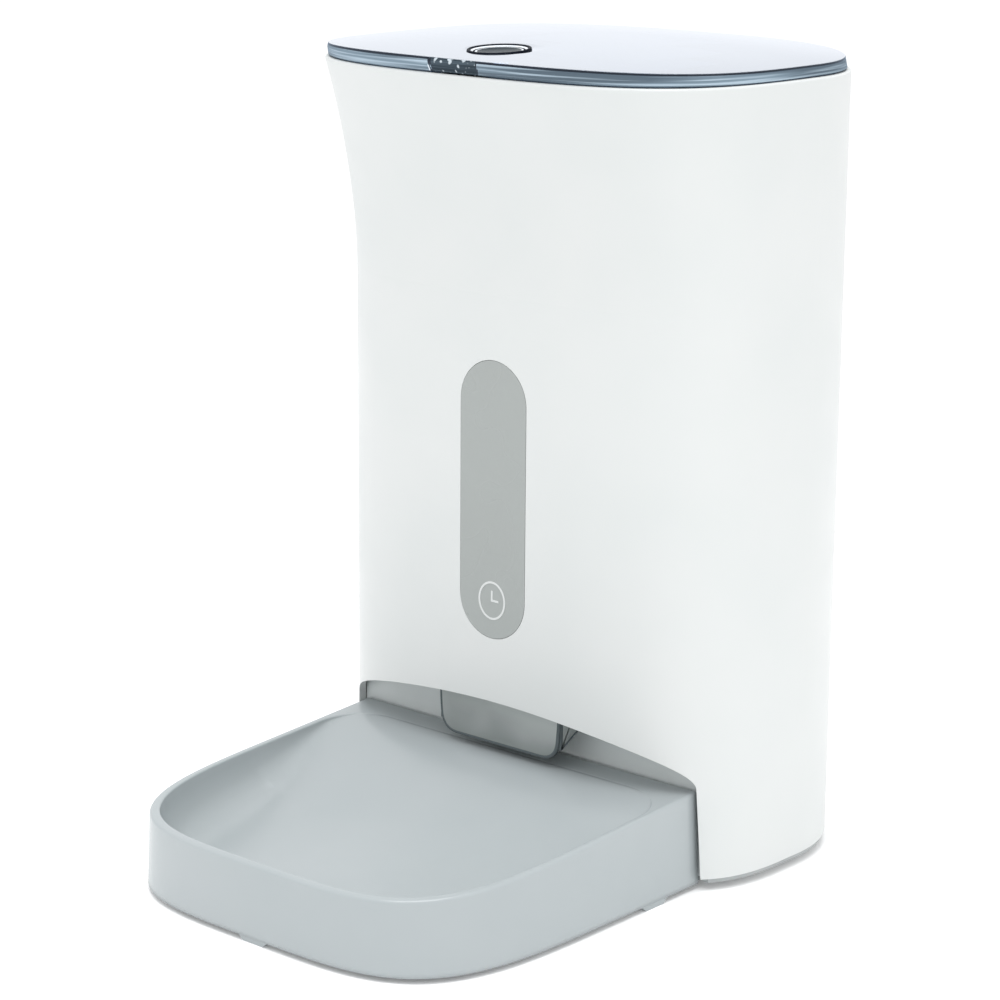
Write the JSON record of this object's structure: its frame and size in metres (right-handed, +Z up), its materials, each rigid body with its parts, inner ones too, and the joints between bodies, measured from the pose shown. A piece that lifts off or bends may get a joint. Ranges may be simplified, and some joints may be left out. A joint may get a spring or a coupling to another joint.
{
  "type": "automatic pet feeder",
  "caption": "Tall white pet feeder with a flared top, smoky hinged lid, touch panel, smoky outlet chute and a pull-out grey food bowl.",
  "frame": {"origin": "on the floor, under the middle of the whole feeder with its bowl in place", "axes": "+Z up, front and bowl towards -Y, +X to the right of someone facing the back"},
  "size_m": [0.2148, 0.2794, 0.3373],
  "materials": {
    "white_shell": "satin white moulded ABS",
    "grey_base": "grey moulded plastic, fine texture",
    "recess_grey": "grey moulded plastic",
    "panel_grey": "smooth grey panel",
    "icon_white": "thin printed mark",
    "bowl_grey": "light grey satin plastic",
    "smoky_lid": "smoky transparent plastic",
    "smoky_chute": "smoky transparent plastic",
    "clear_bin": "frosted translucent plastic",
    "dark_plastic": "dark moulded plastic",
    "white_plastic": "natural acetal plastic",
    "rubber": "soft rubber",
    "silicone": "grey silicone",
    "steel": "plated steel",
    "brass": "sintered brass",
    "board_green": "green circuit board"
  },
  "bodies": {
    "housing": {"base_plate": "grey_base", "base_screws": "steel", "battery_box": "dark_plastic", "battery_contacts": "steel", "control_board": "board_green", "dispenser_pan": "white_plastic", "display_board": "board_green", "frame_screws": "steel", "front_panel": "panel_grey", "gear_motor": "steel", "hinge_pin": "steel", "hopper": "clear_bin", "housing_shell": "white_shell", "motor_bracket": "steel", "motor_screws": "steel", "outlet_chute": "smoky_chute", "outlet_sensors": "dark_plastic", "pan_bush": "brass", "panel_icon": "icon_white", "power_socket": "dark_plastic", "recess_panel": "recess_grey", "rubber_feet": "rubber", "socket_board": "board_green", "top_frame": "clear_bin"},
    "rotor": {"rotor": "white_plastic", "rotor_shaft": "steel", "vane_wipers": "silicone", "stirrer": "white_plastic", "drive_gear": "white_plastic"},
    "pinion": {"motor_pinion": "brass", "motor_shaft": "steel"},
    "lid": {"lid": "smoky_lid", "lid_seal": "silicone", "button_bezel": "dark_plastic", "latch_cover": "smoky_lid", "latch_spring": "steel", "desiccant_box": "white_plastic", "desiccant_cover": "white_plastic"},
    "lid_button": {"lid_button": "smoky_lid"},
    "latch": {"latch_slider": "dark_plastic"},
    "bowl": {"bowl": "bowl_grey", "bowl_feet": "silicone"},
    "battery_door": {"battery_door": "grey_base"}
  },
  "joints": [
    {"name": "rotor_spin", "type": "hinge", "parent": "housing", "child": "rotor", "pos_m": [0, 0.0701, 0.11], "axis": [0, 0, 1], "continuous": true},
    {"name": "pinion_spin", "type": "hinge", "parent": "housing", "child": "pinion", "pos_m": [0, 0.1001, 0.095], "axis": [0, 0, 1], "continuous": true},
    {"name": "lid_hinge", "type": "hinge", "parent": "housing", "child": "lid", "pos_m": [0, 0.1366, 0.3234], "axis": [-1, 0, 0], "range_deg": [0, 95]},
    {"name": "button_press", "type": "slide", "parent": "lid", "child": "lid_button", "axis": [0, 0, -1], "range_m": [0, 0.0022], "stiffness_N_per_m": 400, "springref_m": -0.001},
    {"name": "latch_draw", "type": "slide", "parent": "lid", "child": "latch", "axis": [0, 1, 0], "range_m": [0, 0.0022]},
    {"name": "bowl_pull", "type": "slide", "parent": "housing", "child": "bowl", "axis": [0, -1, 0], "range_m": [0, 0.06]},
    {"name": "battery_door_slide", "type": "slide", "parent": "housing", "child": "battery_door", "axis": [0, 1, 0], "range_m": [0, 0.09]}
  ],
  "couplings": [
    {"joint": "pinion_spin", "follows": "rotor_spin", "ratio": -3},
    {"joint": "latch_draw", "follows": "button_press", "ratio": 1}
  ]
}
